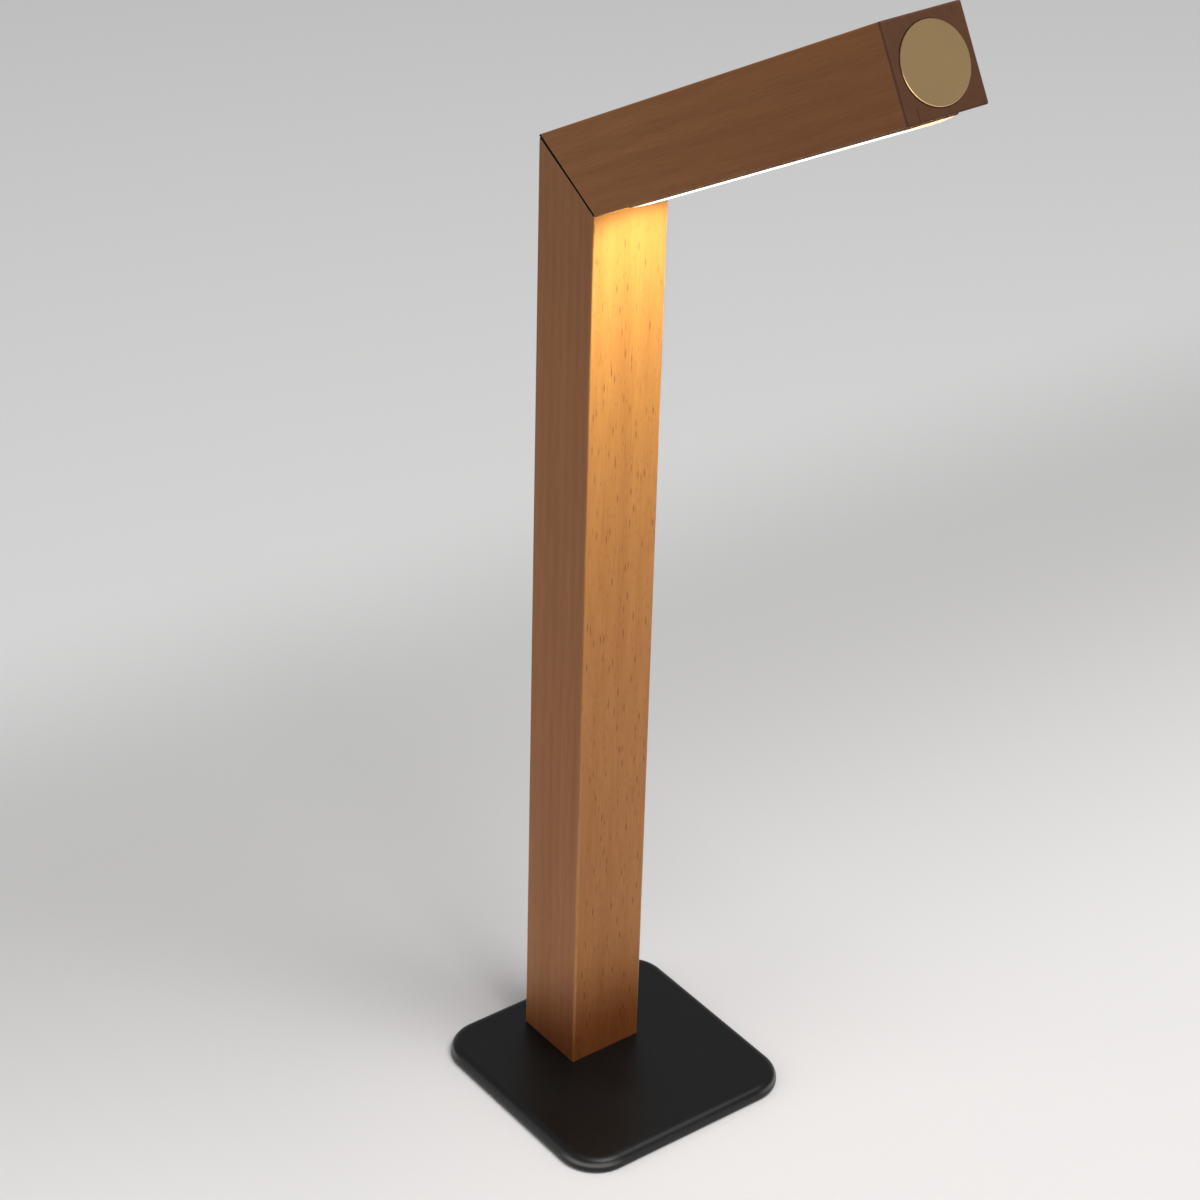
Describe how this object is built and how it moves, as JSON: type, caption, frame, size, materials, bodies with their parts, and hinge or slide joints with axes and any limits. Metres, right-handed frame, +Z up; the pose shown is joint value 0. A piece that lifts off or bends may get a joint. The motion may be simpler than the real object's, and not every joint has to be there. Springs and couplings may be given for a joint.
{
  "type": "portable table lamp",
  "caption": "Portable table lamp with a square wooden post on a flat black base, a wooden light arm that turns on a slanted mitre, and a brass push switch in its end.",
  "frame": {"origin": "middle of the underside of the base, where the lamp stands on the table", "axes": "+Z up, +X the way the arm points, the charging inlet on the -X side"},
  "size_m": [0.1836, 0.095, 0.456],
  "materials": {
    "beech": "stained and oiled beech, satin",
    "black_plate": "satin black powder coat on steel",
    "foot_pad": "matte",
    "satin_brass": "satin",
    "milky_acrylic": "milky, lit from inside",
    "white_plastic": "satin",
    "black_plastic": "moulded, matte",
    "steel": "plain",
    "light_metal": "extruded, plain",
    "contact_brass": "plain",
    "cell_wrap": null,
    "circuit_board": "solder mask",
    "white_board": "white solder mask",
    "led_phosphor": "phosphor resin",
    "inner_plastic": "moulded",
    "lead_sheath": "matte"
  },
  "bodies": {
    "stand": {"base_plate": "black_plate", "base_pad": "foot_pad", "base_screws": "steel", "post": "beech", "post_foot_plug": "light_metal", "board_carrier": "inner_plastic", "charge_board": "circuit_board", "board_components": "black_plastic", "contact_carrier": "inner_plastic", "charge_socket": "steel", "charge_bezel": "black_plastic", "lower_contact": "contact_brass", "battery_cell_lower": "cell_wrap", "battery_cell_upper": "cell_wrap", "upper_contact": "contact_brass", "battery_tube": "inner_plastic", "cell_clamp": "inner_plastic", "post_pivot_plate": "steel", "post_plate_screws": "steel", "pivot_bush": "contact_brass", "slip_washer": "inner_plastic", "friction_washer": "inner_plastic", "spring_washer": "steel", "post_lead": "lead_sheath"},
    "arm": {"arm_beam": "beech", "arm_pivot_plate": "steel", "arm_plate_screws": "steel", "stop_pin": "steel", "pivot_bolt": "steel", "pivot_nut": "steel", "led_channel": "light_metal", "channel_screws": "steel", "channel_caps": "white_plastic", "led_board": "white_board", "led_chips": "led_phosphor", "diffuser": "milky_acrylic", "switch_housing": "black_plastic", "switch_module": "black_plastic", "arm_lead": "lead_sheath", "led_lead": "lead_sheath"},
    "switch_button": {"switch_disc": "satin_brass", "switch_stem": "steel", "stem_clip": "steel", "switch_plunger": "white_plastic"}
  },
  "joints": [
    {"name": "arm_swivel", "type": "hinge", "parent": "stand", "child": "arm", "pos_m": [-0.02, 0, 0.35734], "axis": [0.5, 0, 0.866], "range_deg": [0, 180]},
    {"name": "switch_press", "type": "slide", "parent": "arm", "child": "switch_button", "axis": [-0.866, 0, -0.5], "range_m": [0, 0.0008], "stiffness_N_per_m": 2500}
  ]
}
